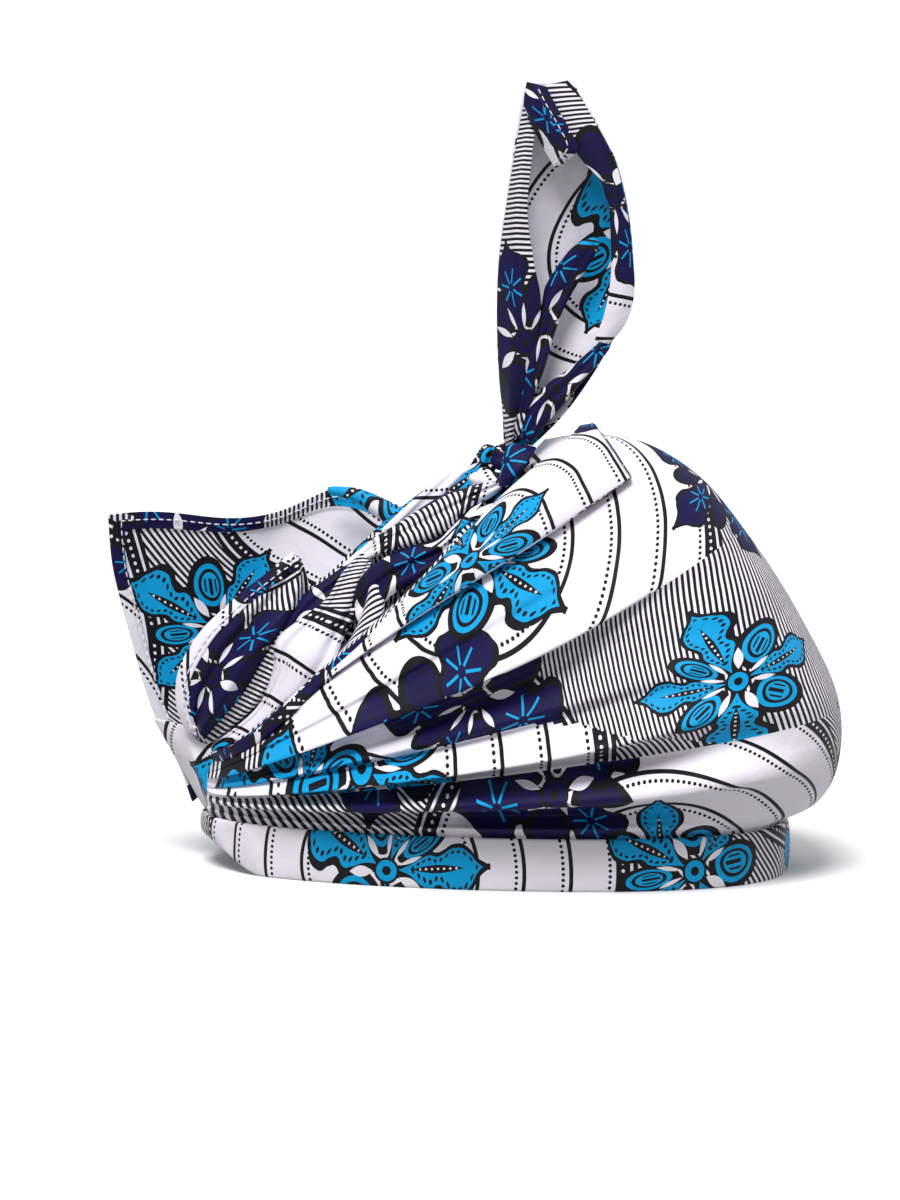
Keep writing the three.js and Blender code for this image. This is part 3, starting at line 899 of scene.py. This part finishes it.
def length_of(x, y):
    """The distance of (x, y) from the origin."""
    return (x * x + y * y).root()


def paint(tree, under, layers):
    """Colours over a ground, each where its mask is 1, the last one on top."""
    for colour, mask in layers:
        node = tree.nodes.new("ShaderNodeMix")
        node.data_type = "RGBA"
        factor, first, second = (node.inputs[i] for i in (0, 6, 7))
        tree.links.new(mask.socket, factor)
        for socket, value in ((first, under), (second, colour)):
            if isinstance(value, bpy.types.NodeSocket):
                tree.links.new(value, socket)
            else:
                socket.default_value = value
        under = node.outputs[2]
    return under


def choose(mask, yes, no):
    """yes where mask is 1, no where it is 0."""
    return no + (yes - no) * mask


WHITE = linear("E6E2EC")
BLACK = linear("0B0A10")
NAVY = linear("0B0540")
NAVY_LINE = linear("0A0830")
TURQUOISE = linear("0098D2")

# The print repeats every REPEAT millimetres. Each centre has x, y and a turn in degrees.
REPEAT = (200.0, 190.0)
MEDALLIONS = [(0.0, 0.0, 0.0)]
TURQUOISE_FLOWERS = [(0.0, 0.0, 236.0), (97.0, -47.0, 26.0), (-48.0, 92.0, 90.0)]
NAVY_FLOWERS = [(5.0, -55.0, 93.0), (92.0, 38.0, 60.0), (40.0, 85.0, 45.0)]
MEDALLION_RADIUS = 80.0
# Past this length of cloth the ground is hatched, with a single medallion
FAR_LENGTH = 1000.0
LONE_MEDALLION = (-30.0, 1788.0)
RING_PITCH = 16.0
BORDER_WIDTH = 7.6
HATCH_PITCH = 1.9
OUTLINE = 0.9
# The large petals' ends, and the round petals' centre, half length and half width
PETAL_START, PETAL_TIP = 4.0, 36.0
ROUND_PETAL = (16.5, 9.5, 5.8)
PETAL_OUTLINE = [(0.0, 0.1), (0.12, 0.26), (0.28, 0.6), (0.37, 0.72), (0.45, 0.62), (0.52, 0.72),
                 (0.67, 1.0), (0.8, 0.74), (0.9, 0.26), (1.0, 0.0)]
# The print's petals are unevenly spaced: the shares of a turn at which they lie, and the
# even ones
PETAL_TURNS = [(0.0, 0.0), (39 / 360, 0.125), (102 / 360, 0.25), (136 / 360, 0.375),
               (166 / 360, 0.5), (197 / 360, 0.625), (246 / 360, 0.75), (316 / 360, 0.875),
               (1.0, 1.0)]


def nearest(u, v, centres):
    """Where a point lies from the nearest of the print's repeating centres, turned with it."""
    best = None
    for x, y, turn in centres:
        dx = (u - x + REPEAT[0] / 2).wrap(REPEAT[0]) - REPEAT[0] / 2
        dy = (v - y + REPEAT[1] / 2).wrap(REPEAT[1]) - REPEAT[1] / 2
        c, s = math.cos(math.radians(turn)), math.sin(math.radians(turn))
        turned = (dx * c + dy * s, dy * c - dx * s)
        away = length_of(*turned)
        if best is None:
            best = (*turned, away)
        else:
            closer = away < best[2]
            best = tuple(choose(closer, new, old) for new, old in zip((*turned, away), best))
    return best


def dot(x, y, pitch, radius):
    """1 inside a row of dots along x, where y is the distance from the row."""
    along = x.wrap(pitch) - pitch / 2
    return length_of(along, y) < radius


def curve_of(tree, table, share):
    """The value of a smooth curve through a table's points."""
    node = tree.nodes.new("ShaderNodeFloatCurve")
    curve = node.mapping.curves[0]
    for place, (x, y) in enumerate(table):
        if place < 2:
            curve.points[place].location = (x, y)
        else:
            curve.points.new(x, y)
    node.mapping.update()
    tree.links.new(share.socket, node.inputs[1])
    return Wire(tree, node.outputs[0])


def flower(tree, place, fill, line, half_width, stamens):
    """The layers of a flower: four pointed two-lobed petals with four small round ones
    between them, each with an outline; dots and a slit or stamens in the large ones, rings
    in the small ones."""
    x, y, away = place
    quarter = math.pi / 2
    way_round = (y.angle_of(x) / TAU).wrap(1.0)
    angle = curve_of(tree, PETAL_TURNS, way_round) * TAU
    large = (angle + quarter / 2).wrap(quarter) - quarter / 2
    small = angle.wrap(quarter) - quarter / 2
    eighth = angle.wrap(quarter / 2) - quarter / 4

    lx, side = away * large.cosine(), away * large.sine()
    ly = side.size()
    share = ((lx - PETAL_START) / (PETAL_TIP - PETAL_START)).clamp(0.0, 1.0)
    edge = (ly - curve_of(tree, PETAL_OUTLINE, share) * half_width).high(lx - PETAL_TIP) * 0.85
    sx, sy = away * small.cosine(), (away * small.sine()).size()
    centre, half_length, round_half_width = ROUND_PETAL
    round_edge = (length_of((sx - centre) / half_length, sy / round_half_width) - 1.0
                  ) * round_half_width
    layers = [
        (BLACK, round_edge < OUTLINE),
        (fill, round_edge < -0.8),
        (line, (round_edge + 2.4).size() < 0.42),
        (line, (sy.wrap(1.5) < 0.6) * (round_edge < -3.4) * (sx < 19.0)),
        (BLACK, edge < OUTLINE),
        (fill, edge < -0.8),
    ]
    if stamens:
        sprig_x = lx - 20.0
        reach = length_of(sprig_x, side)
        spread = side.angle_of(sprig_x).wrap(0.9) - 0.45
        sprig = ((spread.sine() * reach).size() < 0.38) * (reach > 1.6) * (reach < 7.0)
        layers += [
            (line, (edge + 3.4).size() < 0.35),
            (TURQUOISE, sprig * (edge < -1.0)),
        ]
    else:
        slit = ((lx - 9.0) / 19.0).clamp(0.0, 1.0) * math.pi
        layers += [
            (line, dot(lx, edge + 2.3, 2.1, 0.6)),
            (line, ly < slit.sine() * 1.4),
            (WHITE, dot(lx, side, 2.2, 0.42) * (lx > 12.0) * (lx < 26.0)),
        ]
    ax, ay = away * eighth.cosine(), (away * eighth.sine()).size()
    almond = ((ax - 5.0) / 9.0).clamp(0.0, 1.0) * math.pi
    return layers + [
        (WHITE, ay < almond.sine() * 1.1),
        (BLACK, away < 4.6),
        (fill, away < 3.7),
        (BLACK, away < 1.6),
    ]


def print_group():
    """The whole print: medallions of rings in a dotted border, a hatched ground, and
    turquoise and navy flowers, as a colour for each point of the cloth."""
    tree = bpy.data.node_groups.new("wax_print", "ShaderNodeTree")
    tree.interface.new_socket("Place", in_out="INPUT", socket_type="NodeSocketVector")
    tree.interface.new_socket("Color", in_out="OUTPUT", socket_type="NodeSocketColor")
    start, end = tree.nodes.new("NodeGroupInput"), tree.nodes.new("NodeGroupOutput")
    split = tree.nodes.new("ShaderNodeSeparateXYZ")
    tree.links.new(start.outputs[0], split.inputs[0])
    u, v = Wire(tree, split.outputs[0]), Wire(tree, split.outputs[1])

    mx, my, _ = nearest(u, v, MEDALLIONS)
    far = v > FAR_LENGTH
    mx, my = choose(far, u - LONE_MEDALLION[0], mx), choose(far, v - LONE_MEDALLION[1], my)
    ring, way_round = length_of(mx, my), my.angle_of(mx)
    step = ring.wrap(RING_PITCH)
    dots_way = way_round * (ring - step + RING_PITCH)
    outside = ring - MEDALLION_RADIUS
    hatch = u * 0.94 + v * 0.34 + (u / 21.0 + v / 34.0).sine() * 3.0
    stripes = paint(tree, WHITE, [(BLACK, hatch.wrap(HATCH_PITCH) < HATCH_PITCH * 0.52)])
    ground = [
        (BLACK, (step < 1.4) * (ring > RING_PITCH / 2)),
        (BLACK, dot(dots_way, step - (RING_PITCH - 2.0), 2.0, 0.62) * (ring > RING_PITCH / 2)),
        (stripes, outside > 0.0),
        (BLACK, (outside > 0.0) * (outside < BORDER_WIDTH)),
        (WHITE, (outside - 5.4).size() < 0.5),
        (WHITE, dot(way_round * MEDALLION_RADIUS, outside - 2.4, 2.6, 0.6)),
    ]
    navy = flower(tree, nearest(u, v, NAVY_FLOWERS), NAVY, NAVY_LINE, 11.5, True)
    turquoise = flower(tree, nearest(u, v, TURQUOISE_FLOWERS), TURQUOISE, BLACK, 8.9, False)
    tree.links.new(paint(tree, WHITE, ground + navy + turquoise), end.inputs[0])
    return tree


def add_bump(tree, shader, place, scale, detail, strength, height, before=None):
    """Noise on the cloth's own lengths as bump, over an earlier one."""
    noise = tree.nodes.new("ShaderNodeTexNoise")
    noise.inputs["Scale"].default_value = scale
    noise.inputs["Detail"].default_value = detail
    bump = tree.nodes.new("ShaderNodeBump")
    bump.inputs["Strength"].default_value = strength
    bump.inputs["Distance"].default_value = height * METRE
    tree.links.new(place.outputs[0], noise.inputs["Vector"])
    tree.links.new(noise.outputs[0], bump.inputs["Height"])
    if before:
        tree.links.new(before.outputs[0], bump.inputs["Normal"])
    tree.links.new(bump.outputs[0], shader.inputs["Normal"])
    return bump


def new_material(name, values):
    """A material whose shader has the named values, with its node tree and its shader."""
    material = bpy.data.materials.new(name)
    material.use_nodes = True
    shader = material.node_tree.nodes["Principled BSDF"]
    for label, value in values.items():
        shader.inputs[label].default_value = value
    FINISHES[name] = material
    return material, material.node_tree, shader


def cotton(name, group):
    """Crisp printed cotton: the print over the cloth, fine threads and soft creases as
    bump, and a slight wax sheen."""
    _, tree, shader = new_material(
        name, {"Roughness": 0.62, "Sheen Weight": 0.02, "Specular IOR Level": 0.18})
    place = tree.nodes.new("ShaderNodeUVMap")
    place.uv_map = "print"
    pattern = tree.nodes.new("ShaderNodeGroup")
    pattern.node_tree = group
    tree.links.new(place.outputs[0], pattern.inputs[0])
    tree.links.new(pattern.outputs[0], shader.inputs["Base Color"])
    threads = add_bump(tree, shader, place, 2.2, 2.0, 0.12, 0.2)
    add_bump(tree, shader, place, 0.045, 5.0, 0.5, 3.0, threads)


def stitch_thread():
    """White sewing thread with a fine uneven ply."""
    _, tree, shader = new_material("stitch_thread", {"Roughness": 0.7})
    place = tree.nodes.new("ShaderNodeTexCoord")
    noise = tree.nodes.new("ShaderNodeTexNoise")
    noise.inputs["Scale"].default_value = 3000.0
    ramp = tree.nodes.new("ShaderNodeValToRGB")
    ramp.color_ramp.elements[0].color = linear("B9B6C4")
    ramp.color_ramp.elements[1].color = linear("F7F5FA")
    tree.links.new(place.outputs["Object"], noise.inputs["Vector"])
    tree.links.new(noise.outputs[0], ramp.inputs[0])
    tree.links.new(ramp.outputs[0], shader.inputs["Base Color"])


# Studio

def stage_object(name, points, faces, material):
    """Something of the studio's, which is no piece of the wrap."""
    mesh = bpy.data.meshes.new(name)
    mesh.from_pydata(points, [], faces)
    mesh.materials.append(material)
    thing = add_object(name, mesh)
    return thing


def make_studio():
    """A pale floor under a pale sky, and two wide soft suns from above. A white dome that
    only the camera sees closes the view."""
    pale = new_material("pale_floor", {
        "Base Color": (0.9, 0.9, 0.9, 1.0), "Roughness": 0.9, "Specular IOR Level": 0.0})[0]
    half = 26.0
    corners = [(x * half, y * half, 0.0) for x, y in ((-1, -1), (1, -1), (1, 1), (-1, 1))]
    floor = stage_object("floor", corners, [(0, 1, 2, 3)], pale)
    floor.visible_diffuse = False

    world = bpy.data.worlds.new("sky")
    world.use_nodes = True
    sky = world.node_tree.nodes["Background"]
    sky.inputs["Color"].default_value = (1.0, 1.0, 1.0, 1.0)
    sky.inputs["Strength"].default_value = 0.5
    bpy.context.scene.world = world

    for name, direction, strength, spread in (
        ("key", (0.15, 0.6, -1.0), 3.1, 28.0),
        ("top", (-0.15, -0.25, -1.0), 0.5, 70.0),
    ):
        light = bpy.data.lights.new(name, "SUN")
        light.energy = strength
        light.angle = math.radians(spread)
        lamp = add_object(name, light)
        lamp.rotation_euler = Vector(direction).to_track_quat("-Z", "Y").to_euler()

    white = new_material("white_dome", {
        "Base Color": (0.0, 0.0, 0.0, 1.0), "Emission Color": (1.0, 1.0, 1.0, 1.0),
        "Emission Strength": 1.0})[0]
    radius, rows, columns = 25.0, 20, 49
    turn = np.linspace(0.0, TAU, columns)[None, :]
    height = np.linspace(-0.1, 0.5 * np.pi, rows)[:, None]
    points = radius * np.stack(np.broadcast_arrays(
        np.cos(height) * np.cos(turn), np.cos(height) * np.sin(turn), np.sin(height)), -1)
    index = np.arange(rows * columns).reshape(rows, columns)
    dome = stage_object("dome", points.reshape(-1, 3).tolist(),
                        face_corners(index).reshape(-1, 4).tolist(), white)
    for rays in ("diffuse", "glossy", "transmission", "volume_scatter", "shadow"):
        setattr(dome, "visible_" + rays, False)


def make_camera():
    """The photograph's view: along +Y from a little above, with a long lens."""
    photo_height_px = 1200.0
    px_per_mm = 2.8
    distance = 1600.0
    rise = math.radians(4.5)
    target = (np.array([-8.0, 0.0, 93.1]) - MIDDLE) * METRE
    camera = bpy.data.cameras.new("camera")
    camera.sensor_fit = "VERTICAL"
    camera.sensor_height = 36.0
    camera.lens = px_per_mm * distance / photo_height_px * camera.sensor_height
    camera.clip_start, camera.clip_end = 0.05, 80.0
    stand = add_object("camera", camera)
    back = Vector((0.0, -math.cos(rise), math.sin(rise)))
    stand.location = Vector(target) + back * distance * METRE
    stand.rotation_euler = (-back).to_track_quat("-Z", "Y").to_euler()
    bpy.context.scene.camera = stand


make_camera()
make_studio()
bpy.context.scene.view_settings.view_transform = "Standard"

wax_print = print_group()
for slot_name in ("crown_cotton", "band_cotton", "tie_cotton"):
    cotton(slot_name, wax_print)
stitch_thread()

make_crown()
make_band()
make_top_roll()
make_twist()
make_knot()
make_standing_tie()
make_front_tail()
make_front_fold()
make_gather()
